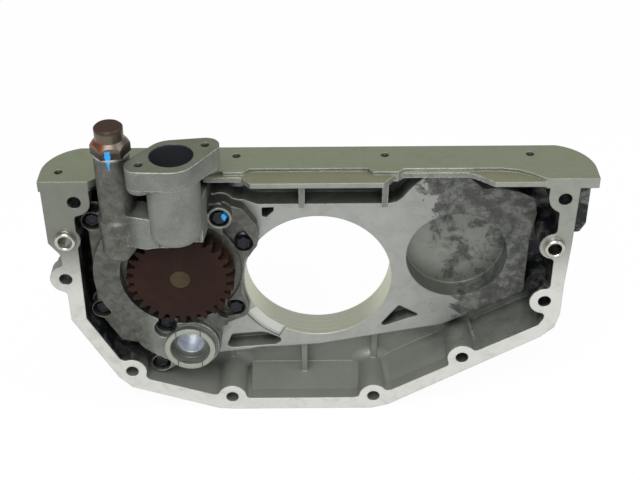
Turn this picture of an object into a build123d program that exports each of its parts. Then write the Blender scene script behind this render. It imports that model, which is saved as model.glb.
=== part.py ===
from build123d import *
import math
import os

# Engine front cover with a gear oil pump on its engine side, in millimetres.
# It lies as it does on a bench: the sump face is on top (+Z), the engine is in
# front (-Y) and the outside of the engine is behind (+Y).  The origin is the
# centre of the crankshaft seal bore.  "Depth" is measured along +Y from the
# mating face, where the flange meets the engine block.

# ---------------------------------------------------------------- cover sizes
platform_depth = 26.0  # machined web round the crank bore, and the pump seat
cover_depth = 53.0  # outer face of the cover
side_wall = 6.5
wall_inset = 2.0  # the walls stand back from the edge of the sump flange
flange_thickness = 12.0
crank_bore_radius = 62.5
crank_ring_wall = 10.5
mating_face_y = -(platform_depth + cover_depth) / 2

sump_face_z = 113.5
sump_flange_thickness = 9.0
sump_flange_depth = 51.5
sump_left_x = -220.0
sump_right_x = 222.0
sump_corner_radius = 38.0
ledge_drop = 3.0
ledge_thickness = 4.5

flange_hole_radius = 5.5
flange_boss_radius = 12.5
column_radius = 11.0
wall_draft = 5.5  # how much thicker the lower walls are at the back
column_cove = 9.0  # cast cove where a column meets the back wall
outline_rounding = 4.0
upper_hole_z = 94.0
lower_hole_z = -112.5
# flange bolt holes: x, z, depth of the column that each one is drilled through
flange_holes = [
    (-193.0, upper_hole_z, 42.0),
    (-208.5, 18.5, 22.0),
    (-162.5, -82.0, 53.0),
    (-76.5, lower_hole_z, 53.0),
    (48.5, lower_hole_z, 53.0),
    (124.5, -69.0, 53.0),
    (190.0, -8.0, 38.0),
    (196.5, upper_hole_z, 36.0),
]
sump_hole_radius = 3.4
sump_hole_length = 20.0
sump_boss_radius = 8.5
sump_holes = [(-205.5, 15.0), (-65.5, 38.0), (54.5, 38.0), (172.0, 38.0)]

sleeve_left = (-204.0, 58.0)
sleeve_right = (192.5, 48.0)
sleeve_radius = 8.25
sleeve_bore_radius = 5.5
sleeve_length = 16.0
sleeve_stand = 4.5
sleeve_press = 0.2  # the pressed end is this much larger in radius
sleeve_lead = 0.7
sleeve_boss_radius = 12.0

pocket_x = 117.0
pocket_z = 21.4
pocket_radius = 42.6
pocket_depth = 19.0
pocket_wall = 6.0
crescent_radius = 73.5
crescent_depth = 2.5
web_rib = 5.0
core_skin = 8.0
smallest_core = 500.0  # area; smaller corners stay solid

# ----------------------------------------------------------------- pump sizes
gear_module = 3.0
gear_teeth = 28
gear_front = 0.0
gear_width = 14.0
crank_gear_teeth = 49
pump_axis_angle = 171.5  # direction of the pump shaft seen from the crank axis
shaft_radius = 9.0
gear_clearance = 5.5
floor_gap = 3.0

rotor_module = 3.5
rotor_teeth = 12
rotor_width = 20.0
rotor_tip_gap = 0.12
rotor_end_gap = 0.06
idler_radius = 7.0
bush_wall = 2.0
bush_fit = 0.04
bush_length = 13.0
idler_seat_length = 12.0
bearing_boss_radius = 15.5
bearing_cap = 3.0

base_front = 12.0
band_front = 6.0
band_width = 22.0
base_step = 1.6  # the base stands out this far beyond the band
ear_front = 15.0
ear_floor = 21.0
port_x = -110.6
port_z = -57.6
port_front = 0.0
port_ring_radius = 21.7
port_ring_height = 10.0
port_boss_radius = 25.0
port_seat_radius = 17.2
port_seat_depth = 10.0
port_bore_radius = 11.0
port_floor = 22.0
port_drill_radius = 4.5  # joins the pressure channel above the bore's axis
port_drill_rise = 6.0
gallery_radius = 4.5
gallery_depth = 17.0

tower_x = -111.4
tower_depth = -13.4
tower_radius = 20.5
tower_reach = 5.0
tower_lip = 0.3  # the flange stands out this far in front of the tower
tower_top_z = sump_face_z + 31.5
tower_foot_z = 73.0
tower_foot_rounding = 8.0
suction_radius = 17.0
suction_floor_z = 77.0
suction_pass_radius = 10.5
suction_pass_z = 88.0
ear_radius = 11.0
ear_height = 22.0
ear_hole_radius = 3.4
ear_hole_length = 16.0
ear_left = (-134.8, -26.9)
ear_right = (-86.6, 2.2)

relief_x = -158.5
relief_depth = -4.0
relief_outer_radius = 14.0
relief_collar_radius = 16.0
relief_foot_radius = 15.0
relief_top_z = sump_face_z + 28.5
relief_collar_top_z = 86.0
relief_collar_low_z = 72.5
relief_foot_z = 45.5
relief_foot_rounding = 9.0
link_low_z = 63.0
link_top_z = 92.0
piston_radius = 8.0
piston_fit = 0.05
piston_length = 26.0
piston_cup_radius = 6.0
piston_crown = 6.0
piston_seat_z = 62.0
piston_travel = 10.0
feed_radius = 5.0
feed_z = 55.0
spill_radius = 4.0

spring_radius = 4.6
spring_wire = 1.8
spring_turns = 9
plug_thread_radius = 11.0
plug_thread_length = 16.0
plug_hex = 27.0
plug_hex_height = 8.0
plug_head_radius = 11.2
plug_height = 22.5
plug_seat_height = 8.0
washer_thickness = 1.5
washer_radius = 14.0

bolt_radius = 4.0
bolt_clearance = 0.4
bolt_hex = 11.0
bolt_head_height = 6.0
bolt_flange_radius = 7.6
bolt_flange_height = 1.8
bolt_grip = 16.0  # thread held in the cover
bolt_boss_radius = 9.0
bolt_pocket_radius = 8.2
flange_bolts = [(-183.5, 68.0), (-184.0, -22.0), (-138.2, -83.0)]
ear_bolts = [(-61.5, 43.0), (-70.4, -23.5)]
inner_bolt = (-130.5, -39.0)
painted_bolt = (-79.5, 74.0)
painted_boss_front = 6.0
bolt_seat = 20.0
pin_radius = 4.0
pin_length = 16.0
pins = [(-96.0, 76.0), (-172.0, -42.0)]

# ----------------------------------------------------------- dependent places
gear_centre_distance = gear_module * (gear_teeth + crank_gear_teeth) / 2
gear_x = gear_centre_distance * math.cos(math.radians(pump_axis_angle))
gear_z = gear_centre_distance * math.sin(math.radians(pump_axis_angle))
rotor_spacing = rotor_module * rotor_teeth
idler_x = gear_x - rotor_spacing
rotor_tip_radius = rotor_module * (rotor_teeth + 2) / 2
gear_tip_radius = gear_module * (gear_teeth + 2) / 2
recess_radius = gear_tip_radius + gear_clearance
recess_floor = gear_front + gear_width + floor_gap
chamber_radius = rotor_tip_radius + rotor_tip_gap
chamber_floor = platform_depth + rotor_width + 2 * rotor_end_gap
inner_wall_depth = cover_depth - wall_inset - side_wall
bolt_hole_radius = bolt_radius + bolt_clearance


# ------------------------------------------------------------------- helpers
def facing(depth):
    """Plane at a depth behind the mating face: sketch X is X, sketch Y is Z."""
    return Plane(origin=(0, mating_face_y + depth, 0), x_dir=(1, 0, 0), z_dir=(0, -1, 0))


def slab(sketch, front, back):
    """Solid with an X-Z outline between two depths."""
    return extrude(facing(front) * sketch, amount=front - back)


def rise(sketch, low, high):
    """Solid with an X-depth outline between two heights."""
    return extrude(Plane(origin=(0, mating_face_y, low)) * sketch, amount=high - low)


def disc(x, z, radius):
    return Pos(x, z) * Circle(radius)


def outline(points):
    return make_face(Polyline(*points, close=True))


def hull(*discs):
    """Convex outline round some discs, each (x, z, radius)."""
    edges = [edge for x, z, radius in discs for edge in disc(x, z, radius).edges()]
    return make_hull(edges)


def soften(sketch, radius):
    """Round the outward corners of an outline."""
    return offset(offset(sketch, -radius), radius)


def blend(sketch, radius):
    """Round the inward corners of an outline."""
    return offset(offset(sketch, radius), -radius)


def drill(x, z, radius, front, back):
    return slab(disc(x, z, radius), front, back)


def upright(x, depth, radius, low, high):
    return rise(disc(x, depth, radius), low, high)


def gear_face(module, teeth, thinning, turn=0.0):
    """Spur gear outline with involute flanks drawn as arcs."""
    pitch = module * teeth / 2
    base = pitch * math.cos(math.radians(20))
    tip = pitch + module
    root = pitch - 1.25 * module
    half = math.pi / (2 * teeth) - thinning / (2 * pitch)
    involute = math.tan(math.radians(20)) - math.radians(20)

    def flank(radius):
        pressure = math.acos(min(1.0, base / max(radius, base)))
        return half + involute - (math.tan(pressure) - pressure)

    def place(radius, angle):
        return (radius * math.cos(angle), radius * math.sin(angle))

    low = max(root, base)
    edges = []
    for index in range(teeth):
        middle = 2 * math.pi * index / teeth + math.radians(turn)
        mean = (low + tip) / 2
        foot = place(root, middle - flank(low))
        start = place(low, middle - flank(low))
        rising = place(mean, middle - flank(mean))
        corner = place(tip, middle - flank(tip))
        far_corner = place(tip, middle + flank(tip))
        falling = place(mean, middle + flank(mean))
        finish = place(low, middle + flank(low))
        far_foot = place(root, middle + flank(low))
        next_foot = place(root, middle + 2 * math.pi / teeth - flank(low))
        valley = place(root, middle + math.pi / teeth)
        if low > root:
            edges.append(Line(foot, start))
        edges.append(ThreePointArc(start, rising, corner))
        edges.append(ThreePointArc(corner, place(tip, middle), far_corner))
        edges.append(ThreePointArc(far_corner, falling, finish))
        if low > root:
            edges.append(Line(finish, far_foot))
        edges.append(ThreePointArc(far_foot, valley, next_foot))
    return make_face(Wire(edges))


# --------------------------------------------------------------- cover outline
def flange_sketch():
    """Outer edge of the milled flange."""
    edge = outline([
        (-218.5, sump_face_z - 1), (-218.5, 55), (-210.5, 44), (-208.8, 30), (-208.8, -24),
        (-175, -88), (-164, -100), (-89, -125.5), (-76, -126.7), (47, -126.7), (62, -122.5),
        (190, -46.5), (201, -36), (204.6, -22), (204.6, 10), (206.5, 50), (207.5, sump_face_z - 1),
    ])
    lug = disc(flange_holes[1][0], flange_holes[1][1], flange_boss_radius + 0.5)
    return blend(edge + lug, outline_rounding)


def cavity_edge():
    """Inner edge of the flange before the bolt bosses grow into it."""
    return outline([
        (-180.5, sump_face_z + 5), (-180.5, upper_hole_z), (-194.5, 84), (-196, -23),
        (-172, -68.5), (-167, -71), (-148, -91.5), (-93, -109.8), (-60, -114.4), (31, -114.4),
        (64, -105.8), (110, -80), (137, -61.8), (187, -34), (191, -27), (193.5, -8),
        (193.5, upper_hole_z), (183.5, upper_hole_z), (183.5, sump_face_z + 5),
    ])


def cavity_sketch():
    """Open inside of the cover, with the bolt columns standing in it."""
    room = cavity_edge()
    for x, z, _ in flange_holes:
        room -= disc(x, z, flange_boss_radius)
    for x, z in (sleeve_left, sleeve_right):
        room -= disc(x, z, sleeve_boss_radius)
    return soften(room, outline_rounding)


def body_plan(inset):
    """X-depth outline of the cover: its rear corners are round."""
    width = sump_right_x - sump_left_x - 2 * inset
    depth = cover_depth - inset
    middle = (sump_right_x + sump_left_x) / 2
    block = Pos(middle, depth / 2) * Rectangle(width, depth)
    corners = block.vertices().group_by(Axis.Y)[-1]
    return fillet(corners, sump_corner_radius)


def platform_sketch():
    """Machined web that carries the crank bore, the pocket and the pump."""
    web = outline([
        (-100, 70), (-62, 79.5), (-49, 74.5), (59, 74.5), (64, 75.7), (69, 79.6), (77, 90),
        (86, 100), (86, 112), (123, 112), (123, 99), (136, 87), (148, 88.5), (165, 84.6),
        (178, 78.5), (181, 64), (177, 35), (176.5, -17), (157.5, -27), (136.6, -38.2),
        (107, -53), (72, -59.5), (44, -65), (1.5, -73.5), (-31, -76), (-53, -77), (-61, -79.5),
        (-100, -84),
    ])
    return soften(web, 3.0) + soften(pump_seat_sketch(), 3.0)


def pump_seat_sketch():
    """Pad under the pump body."""
    return offset(base_sketch(), 1.2)


def strip_plan():
    """X-depth outline of the machined sump face: it widens round its screw holes."""
    return outline([
        (-180.5, 0), (-170, 9), (-160, 15), (-77, 15), (-75, 12.5), (-59, 12.5), (-54, 17.8),
        (40, 17.8), (44, 12), (64, 12), (69, 16.8), (146, 16.8), (160, 14), (170, 8.6),
        (181, 0), (sump_right_x, 0), (sump_right_x, sump_flange_depth),
        (sump_left_x, sump_flange_depth), (sump_left_x, 0),
    ])


def ledge_plan():
    """X-depth outline of the cast ledge in front of the machined strip."""
    return outline([
        (-91, 9.5), (-61, 9.5), (-53, 0), (52, 0), (59, 9), (66, 15), (120, 15), (129, 9.5),
        (140, 0), (190, 0), (190, 22), (-91, 22),
    ])


# ---------------------------------------------------------------- cover pieces
def rear_cores():
    """Cored pockets in the outer side, between the ring, the ribs and the rim."""
    web = offset(platform_sketch(), -7.0)
    web -= disc(0, 0, crank_bore_radius + crank_ring_wall)
    web -= disc(pocket_x, pocket_z, pocket_radius + pocket_wall)
    web -= offset(pump_seat_sketch(), 5.0)
    for pocket in web_pockets():
        web -= offset(pocket, 5.0)
    for angle in (35, 62, 340):
        web -= Rot(0, 0, angle) * Pos(100, 0) * Rectangle(200, web_rib + 1)
    cores = [face for face in web.faces() if face.area > smallest_core]
    return [soften(Sketch() + face, 2.0) for face in cores]


def rotor_chamber():
    """Room for both pumping gears, with the suction and pressure channels."""
    room = disc(gear_x, gear_z, chamber_radius) + disc(idler_x, gear_z, chamber_radius)
    mesh_x = (gear_x + idler_x) / 2
    suction = hull((tower_x, suction_pass_z, suction_pass_radius), (mesh_x, gear_z + 26, 9.0))
    drop = gear_z - 36
    pressure = hull((mesh_x + 2, gear_z - 23, 7.0), (gear_x - 4, drop, 7.0))
    pressure += hull((gear_x - 4, drop, 7.0), (port_x, port_z, port_bore_radius))
    channels = slab(suction + pressure, platform_depth, platform_depth + 16)
    return slab(room, platform_depth, chamber_floor) + channels


def cover_ribs():
    """Cast fins: two between the web and the ledge, three on the lower back wall."""
    top = sump_face_z - ledge_drop - ledge_thickness
    fins = []
    for x in (-13.0, 55.0):
        side = Plane(origin=(x, mating_face_y, 0), x_dir=(0, 1, 0), z_dir=(1, 0, 0))
        shape = outline([(platform_depth, 70), (19, top + 1), (50, top + 1), (50, 70)])
        fins.append(extrude(side * shape, amount=web_rib / 2, both=True))
    for x, foot, reach in ((-12.3, -116, 33), (50.0, -104, 38), (-77.5, -104, 40)):
        side = Plane(origin=(x, mating_face_y, 0), x_dir=(0, 1, 0), z_dir=(1, 0, 0))
        shape = outline([(reach - 4, -58), (reach, foot), (50, foot), (50, -58)])
        fins.append(extrude(side * shape, amount=web_rib / 2, both=True))
    return fins


def column_feet():
    """Coves that spread the lower columns over the back wall."""
    root = flange_boss_radius
    spread = root + column_cove
    middle = column_cove * (1 - math.sqrt(0.5))
    sides = Polyline((root, -column_cove), (0, -column_cove), (0, 1), (spread, 1), (spread, 0))
    cove = ThreePointArc((spread, 0), (root + middle, -middle), (root, -column_cove))
    foot = revolve(make_face(sides + cove), Axis.Y)
    wall_y = mating_face_y + inner_wall_depth
    return [Pos(x, wall_y, z) * foot for x, z, _ in flange_holes[3:6]]


def wall_drafts():
    """Draft of the lower walls: they grow thicker towards the back wall."""
    corners = [(-60, -114.4), (31, -114.4), (64, -105.8), (110, -80), (137, -61.8)]
    drafts = []
    for start, end in zip(corners, corners[1:]):
        run = Vector(end[0] - start[0], 0, end[1] - start[1])
        origin = (start[0], mating_face_y, start[1])
        side = Plane(origin=origin, x_dir=(0, 1, 0), z_dir=run.normalized())
        back = inner_wall_depth + 1
        shape = outline([(flange_thickness, -2), (flange_thickness, 0), (back, wall_draft), (back, -2)])
        drafts.append(extrude(side * shape, amount=run.length))
    return drafts


def make_housing():
    room = cavity_sketch()
    rim = slab(flange_sketch(), 0, flange_thickness)
    wall_edge = offset(cavity_edge(), side_wall)
    for x, z, _ in flange_holes:
        wall_edge += disc(x, z, column_radius)
    walls = slab(wall_edge, flange_thickness - 1, cover_depth)
    walls &= rise(body_plan(wall_inset), -150, sump_face_z - 1)
    side_lug = outline([(200, 57), (213, 57.5), (217.5, 66), (217.5, 108), (200, 108)])
    cover = rim + walls + slab(soften(side_lug, 3), 8, 22)

    inside = slab(room, -1, inner_wall_depth)
    inside &= rise(body_plan(wall_inset + side_wall), -150, 150)
    cover -= inside
    for foot in column_feet():
        cover += foot & walls
    for draft in wall_drafts():
        cover += draft & walls

    strip = strip_plan() & body_plan(0)
    cover += rise(strip, sump_face_z - sump_flange_thickness, sump_face_z)
    ledge_top = sump_face_z - ledge_drop
    cover += rise(ledge_plan(), ledge_top - ledge_thickness, ledge_top)
    above = Pos(0, mating_face_y, sump_face_z + 10) * Box(500, 200, 20)
    cover -= above

    cover += slab(platform_sketch(), platform_depth, cover_depth - 1)
    cover += drill(0, 0, crank_bore_radius + crank_ring_wall, cover_depth - 2, cover_depth)
    for fin in cover_ribs():
        cover += fin
    for x, depth in sump_holes:
        cover += upright(x, depth, sump_boss_radius, sump_face_z - sump_hole_length - 4, sump_face_z - 2)
    bearings = hull((gear_x, gear_z, bearing_boss_radius), (idler_x, gear_z, bearing_boss_radius))
    boss_back = chamber_floor + bush_length + bearing_cap
    cover += slab(bearings, cover_depth - 1, boss_back)

    for core in rear_cores():
        cover -= slab(core, platform_depth + core_skin, cover_depth + 1)
    cover -= drill(0, 0, crank_bore_radius, -1, cover_depth + 1)
    cover -= drill(pocket_x, pocket_z, pocket_radius, 20, platform_depth + pocket_depth)
    for pocket in web_pockets():
        cover -= slab(pocket, platform_depth - 1, platform_depth + 15)
    cover -= crescent_cut()
    cover -= rotor_chamber()
    cover -= drill(gear_x, gear_z, shaft_radius + bush_wall, chamber_floor - 1, chamber_floor + bush_length)
    cover -= drill(idler_x, gear_z, idler_radius, chamber_floor - 1, chamber_floor + idler_seat_length)

    for x, z, length in flange_holes:
        cover -= drill(x, z, flange_hole_radius, -1, cover_depth + 1)
        if length < cover_depth:
            cover -= drill(x, z, column_radius, length, cover_depth + 1)
    for x, z in (sleeve_left, sleeve_right):
        cover -= drill(x, z, sleeve_radius + sleeve_press, -1, sleeve_length - sleeve_stand)
        cover -= drill(x, z, sleeve_bore_radius, -1, cover_depth + 1)
    for x, depth in sump_holes:
        cover -= upright(x, depth, sump_hole_radius, sump_face_z - sump_hole_length, sump_face_z + 1)
    for x, z in flange_bolts + ear_bolts + [inner_bolt, painted_bolt]:
        cover -= drill(x, z, bolt_radius, platform_depth - 1, platform_depth + bolt_grip + 2)
    for x, z in pins:
        cover -= drill(x, z, pin_radius, platform_depth - 1, platform_depth + pin_length / 2)
    return cover


def web_pockets():
    """Three weight-saving pockets in the face of the web."""
    corner = outline([(70, -31), (88.5, -42), (57, -54), (55, -51)])
    lower = outline([
        (-81, -75), (-76, -62), (-50, -59.5), (-44, -61), (-34, -66), (-32, -70), (-38, -74),
        (-76, -77.5),
    ])
    upper = outline([(-36, 71.5), (-36.5, 67.5), (-43, 61.5), (-46, 63), (-46, 71)])
    return [soften(corner, 1.5), soften(lower, 3.0), soften(upper, 1.0)]


def crescent_cut():
    """Turned clearance beside the lower left of the crank bore."""
    ring = disc(0, 0, crescent_radius)
    sector = outline([(0, 0), (-110, -64), (-110, -110), (-58, -110)])
    return slab(ring & sector, platform_depth - 1, platform_depth + crescent_depth)


# ------------------------------------------------------------------- pump body
def base_sketch():
    """Outline of the pump body where it stands on the cover."""
    plate = outline([
        (-187, 72), (-187, -26), (-170, -56), (-150, -60), (-110, -78), (-86, -60), (-82, -38),
        (-66, -32), (-60, -8), (-62, 26), (-52, 34), (-48.5, 48), (-50, 60), (-61, 77),
        (-84, 84), (-140, 84), (-140, 98), (-176, 98), (-176, 78),
    ])
    plate += disc(painted_bolt[0], painted_bolt[1], bolt_boss_radius + 2)
    plate += turn_of_band(base_step)
    for x, z in flange_bolts:
        plate += disc(x, z, bolt_boss_radius)
    plate += hull((flange_bolts[2][0], flange_bolts[2][1], bolt_boss_radius), (port_x, port_z, 14))
    plate += hull((ear_bolts[1][0], ear_bolts[1][1], 12), (-90, -30, 14))
    plate -= disc(0, 0, crank_bore_radius + 2)
    return blend(soften(plate, 3.0), 3.0)


def turn_of_band(margin):
    """Where the band turns from the gear into the outlet boss."""
    elbow = (inner_bolt[0] - 4.5, inner_bolt[1] - 6, band_width + margin)
    return hull(elbow, (port_x, port_z, port_boss_radius + margin))


def band_sketch():
    """Raised band that holds the gallery from the outlet to the relief valve."""
    sweep = outline([
        (gear_x, gear_z), (gear_x - 60, gear_z + 72), (gear_x - 100, gear_z + 60),
        (gear_x - 100, gear_z - 70), (gear_x - 52, gear_z - 75),
    ])
    band = disc(gear_x, gear_z, recess_radius + band_width) & sweep
    band += turn_of_band(0)
    band -= disc(gear_x, gear_z, recess_radius)
    band -= disc(inner_bolt[0], inner_bolt[1], bolt_pocket_radius + 2)
    return soften(band, 2.0)


def suction_flange():
    """Two-bolt flange that spreads from the tower to its ears."""
    ears = [(x, depth, ear_radius) for x, depth in (ear_left, ear_right)]
    front = (tower_x, tower_depth - tower_reach, tower_radius)
    return hull(front, (tower_x, tower_depth + 3, tower_radius), *ears)


def make_tower():
    front = (tower_x, tower_depth - tower_reach + tower_lip, tower_radius)
    back = (tower_x, tower_depth + 3, tower_radius)
    tower = rise(hull(front, back), tower_foot_z, tower_top_z)
    foot = tower.edges().group_by(Axis.Z)[0]
    tower = fillet(foot, tower_foot_rounding)
    head = rise(suction_flange(), tower_top_z - ear_height + 5, tower_top_z)
    tower += head
    for x, depth in (ear_left, ear_right):
        boss = upright(x, depth, ear_radius - 0.4, tower_top_z - ear_height, tower_top_z - 1)
        tower += fillet(boss.edges().group_by(Axis.Z)[0], 3.0)
    return tower


def make_relief_cylinder():
    """Round column with a collar low down and a rounded foot."""
    place = Pos(relief_x, mating_face_y + relief_depth, 0)
    foot_height = relief_collar_low_z - relief_foot_z
    foot = Pos(0, 0, relief_foot_z + foot_height / 2) * Cylinder(relief_foot_radius, foot_height)
    foot = fillet(foot.edges().group_by(Axis.Z)[0], relief_foot_rounding)
    collar_height = relief_collar_top_z - relief_collar_low_z
    collar = Cylinder(relief_collar_radius, collar_height)
    collar = chamfer(collar.edges().group_by(Axis.Z)[-1], 1.8)
    collar = Pos(0, 0, relief_collar_low_z + collar_height / 2) * collar
    column_height = relief_top_z - relief_collar_top_z + 5
    column = Cylinder(relief_outer_radius, column_height)
    column = Pos(0, 0, relief_top_z - column_height / 2) * column
    return place * (foot + collar + column)


def make_pump_body():
    body = slab(base_sketch(), base_front, platform_depth)
    right_side = outline([(-78, 90), (-78, -60), (-20, -60), (-20, 90)])
    body -= slab(right_side, base_front - 1, ear_front)
    body += slab(band_sketch(), band_front, base_front + 1)
    body += drill(port_x, port_z, port_ring_radius, port_front, port_front + port_ring_height)

    body += make_tower()
    body += make_relief_cylinder()
    link = hull((relief_x + 6, relief_depth, 12), (tower_x - 6, tower_depth, 12))
    body += rise(link, link_low_z, link_top_z)
    neck = outline([(tower_x - 20, -14), (tower_x + 20, -14), (tower_x + 25, 26), (tower_x - 26, 26)])
    body += rise(neck, tower_foot_z - 8, 102)
    back_web = outline([
        (relief_x - 9, relief_depth), (relief_x + 11, relief_depth), (relief_x + 22, 26),
        (relief_x - 15, 26),
    ])
    body += rise(back_web, link_low_z - 9, 98)
    shelf = outline([(relief_x, 2), (tower_x, 2), (tower_x, 26), (relief_x, 26)])
    body += rise(shelf, link_low_z - 7, link_top_z - 8)
    x, z = painted_bolt
    body += drill(x, z, bolt_boss_radius + 1, painted_boss_front, base_front + 4)

    body -= slab(disc(gear_x, gear_z, recess_radius), -60, recess_floor)
    body -= drill(0, 0, crank_bore_radius + 2, -60, 60)
    body -= drill(port_x, port_z, port_seat_radius, -60, port_front + port_seat_depth)
    body -= drill(port_x, port_z, port_bore_radius, -60, port_floor)
    body -= drill(port_x, port_z + port_drill_rise, port_drill_radius, port_floor - 1, platform_depth + 1)
    body -= drill(gear_x, gear_z, shaft_radius + bush_wall, -60, platform_depth + 1)
    body -= drill(idler_x, gear_z, idler_radius, platform_depth - 7, platform_depth + 1)

    suction = upright(tower_x, tower_depth, suction_radius, suction_floor_z, tower_top_z + 1)
    body -= suction
    body -= drill(tower_x, suction_pass_z, suction_pass_radius, tower_depth, platform_depth + 1)
    for x, depth in (ear_left, ear_right):
        body -= upright(x, depth, ear_hole_radius, tower_top_z - ear_hole_length, tower_top_z + 1)
    body -= relief_bores()
    body -= gallery()

    for x, z in flange_bolts:
        body -= drill(x, z, bolt_pocket_radius, -10, bolt_seat)
    x, z = painted_bolt
    body -= drill(x, z, bolt_pocket_radius, -10, painted_boss_front + bolt_head_height)
    x, z = inner_bolt
    body -= drill(x, z, bolt_pocket_radius + 0.6, base_front - 10, bolt_seat)
    for x, z, reach_x, reach_z in ear_slots():
        slot = hull((x, z, bolt_pocket_radius), (reach_x, reach_z, bolt_pocket_radius))
        body -= slab(slot, 5, ear_floor)
    for x, z in flange_bolts + ear_bolts + [inner_bolt, painted_bolt]:
        body -= drill(x, z, bolt_hole_radius, -10, platform_depth + 1)
    for x, z in pins:
        body -= drill(x, z, pin_radius, platform_depth - pin_length / 2, platform_depth + 1)
    return body


def ear_slots():
    """Pockets that sink the ear bolts below the path of the crank gear."""
    upper, lower = ear_bolts
    return [
        (upper[0], upper[1], upper[0] - 8.5, upper[1] + 13.5),
        (lower[0], lower[1], lower[0] - 8.0, lower[1] - 1.5),
    ]


def relief_bores():
    """Bores of the relief valve: thread, piston, feed and spill."""
    bore = piston_radius + piston_fit
    cut = upright(relief_x, relief_depth, bore, piston_seat_z, relief_top_z + 1)
    low = relief_top_z - plug_thread_length - 1
    cut += upright(relief_x, relief_depth, plug_thread_radius, low, relief_top_z + 1)
    cut += upright(relief_x, relief_depth, feed_radius, feed_z - feed_radius, piston_seat_z + 1)
    cut += drill(relief_x, feed_z, feed_radius - 1, relief_depth, gallery_depth)
    reach = math.hypot(tower_x - relief_x, tower_depth - relief_depth)
    turn = math.degrees(math.atan2(tower_depth - relief_depth, tower_x - relief_x))
    spill_z = piston_seat_z + piston_travel - 1
    start = Pos(relief_x, mating_face_y + relief_depth, spill_z) * Rot(0, 0, turn)
    cut += start * Rot(0, 90, 0) * Pos(0, 0, reach / 2) * Cylinder(spill_radius, reach)
    return cut


def gallery():
    """Curved passage in the band, from the outlet bore to the relief feed."""
    radius = math.hypot(relief_x - gear_x, feed_z - gear_z)
    ring = disc(gear_x, gear_z, radius + gallery_radius) - disc(gear_x, gear_z, radius - gallery_radius)
    sweep = outline([
        (gear_x, gear_z), (relief_x, feed_z), (relief_x - 70, feed_z), (relief_x - 70, gear_z - 90),
        (gear_x - 22, gear_z - 90),
    ])
    start = math.radians(252)
    end = (gear_x + radius * math.cos(start), gear_z + radius * math.sin(start), gallery_radius)
    passage = (ring & sweep) + disc(relief_x, feed_z, gallery_radius)
    passage += hull(end, (port_x, port_z, gallery_radius))
    return slab(passage, gallery_depth - gallery_radius, gallery_depth + gallery_radius - 1)


# --------------------------------------------------------------- moving pieces
def make_drive_gear():
    face = gear_face(gear_module, gear_teeth, 0.2) - Circle(shaft_radius)
    return slab(Pos(gear_x, gear_z) * face, gear_front, gear_front + gear_width)


def make_drive_shaft():
    back = chamber_floor + bush_length - 1
    shaft = drill(gear_x, gear_z, shaft_radius, gear_front, back)
    ends = shaft.edges().filter_by(GeomType.CIRCLE).group_by(Axis.Y)
    return chamfer(ends[0] + ends[-1], 0.8)


def make_drive_rotor():
    face = gear_face(rotor_module, rotor_teeth, 0.35) - Circle(shaft_radius)
    front = platform_depth + rotor_end_gap
    return slab(Pos(gear_x, gear_z) * face, front, front + rotor_width)


def make_driven_rotor():
    turn = 180.0 / rotor_teeth
    bore = idler_radius + bush_fit + bush_wall
    face = gear_face(rotor_module, rotor_teeth, 0.35, turn) - Circle(bore)
    front = platform_depth + rotor_end_gap
    return slab(Pos(idler_x, gear_z) * face, front, front + rotor_width)


def make_driven_rotor_bush():
    inner = idler_radius + bush_fit
    ring = Circle(inner + bush_wall) - Circle(inner)
    front = platform_depth + rotor_end_gap
    return slab(Pos(idler_x, gear_z) * ring, front, front + rotor_width)


def make_idler_shaft():
    return drill(idler_x, gear_z, idler_radius, platform_depth - 6.5, chamber_floor + idler_seat_length)


def make_shaft_bush(front, back):
    ring = Circle(shaft_radius + bush_wall) - Circle(shaft_radius + bush_fit)
    return slab(Pos(gear_x, gear_z) * ring, front, back)


# ---------------------------------------------------------- relief valve parts
def at_relief(height):
    return Pos(relief_x, mating_face_y + relief_depth, height)


def make_relief_piston():
    cup = Cylinder(piston_radius, piston_length)
    room = Pos(0, 0, piston_crown) * Cylinder(piston_cup_radius, piston_length)
    cup = chamfer(cup.edges().group_by(Axis.Z)[0], 1.0)
    return at_relief(piston_seat_z + piston_length / 2) * (cup - room)


def spring_span():
    low = piston_seat_z + piston_crown
    high = relief_top_z - plug_thread_length + plug_seat_height
    return low, high


def make_relief_spring():
    """Coil spring with closed ground ends, seated in the piston and the plug."""
    low, high = spring_span()
    wire = spring_wire / 2
    length = high - low - 2 * wire
    coil = Helix(length / spring_turns, length, spring_radius)
    start = Plane(origin=coil @ 0, z_dir=coil % 0)
    spring = sweep(start * Circle(wire), path=coil, is_frenet=True)
    ring = Torus(spring_radius, wire)
    spring += ring
    spring += Pos(0, 0, length) * ring
    return at_relief(low + wire) * spring


def make_relief_plug():
    """Screw plug: hollow thread, chamfered hexagon and a round head."""
    seat = relief_top_z + washer_thickness
    low = relief_top_z - plug_thread_length
    thread = upright(relief_x, relief_depth, plug_thread_radius, low, seat)
    hexagon = RegularPolygon(plug_hex / 2, 6, major_radius=False, rotation=8)
    flats = at_relief(seat) * extrude(hexagon, amount=plug_height)
    corner = plug_hex / math.sqrt(3)
    shoulder = plug_hex_height + 0.9 * (corner - plug_head_radius)
    profile = outline([
        (0, 0), (corner + 0.5, 0), (corner + 0.5, plug_hex_height - 1), (corner, plug_hex_height - 1),
        (plug_head_radius, shoulder), (plug_head_radius, plug_height - 1.2),
        (plug_head_radius - 1.2, plug_height), (0, plug_height),
    ])
    turned = at_relief(seat) * revolve(Plane.XZ * profile, Axis.Z)
    room = upright(relief_x, relief_depth, piston_cup_radius, low - 1, low + plug_seat_height)
    return thread + (flats & turned) - room


def make_relief_plug_washer():
    ring = disc(relief_x, relief_depth, washer_radius) - disc(relief_x, relief_depth, plug_thread_radius)
    return rise(ring, relief_top_z, relief_top_z + washer_thickness)


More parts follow.
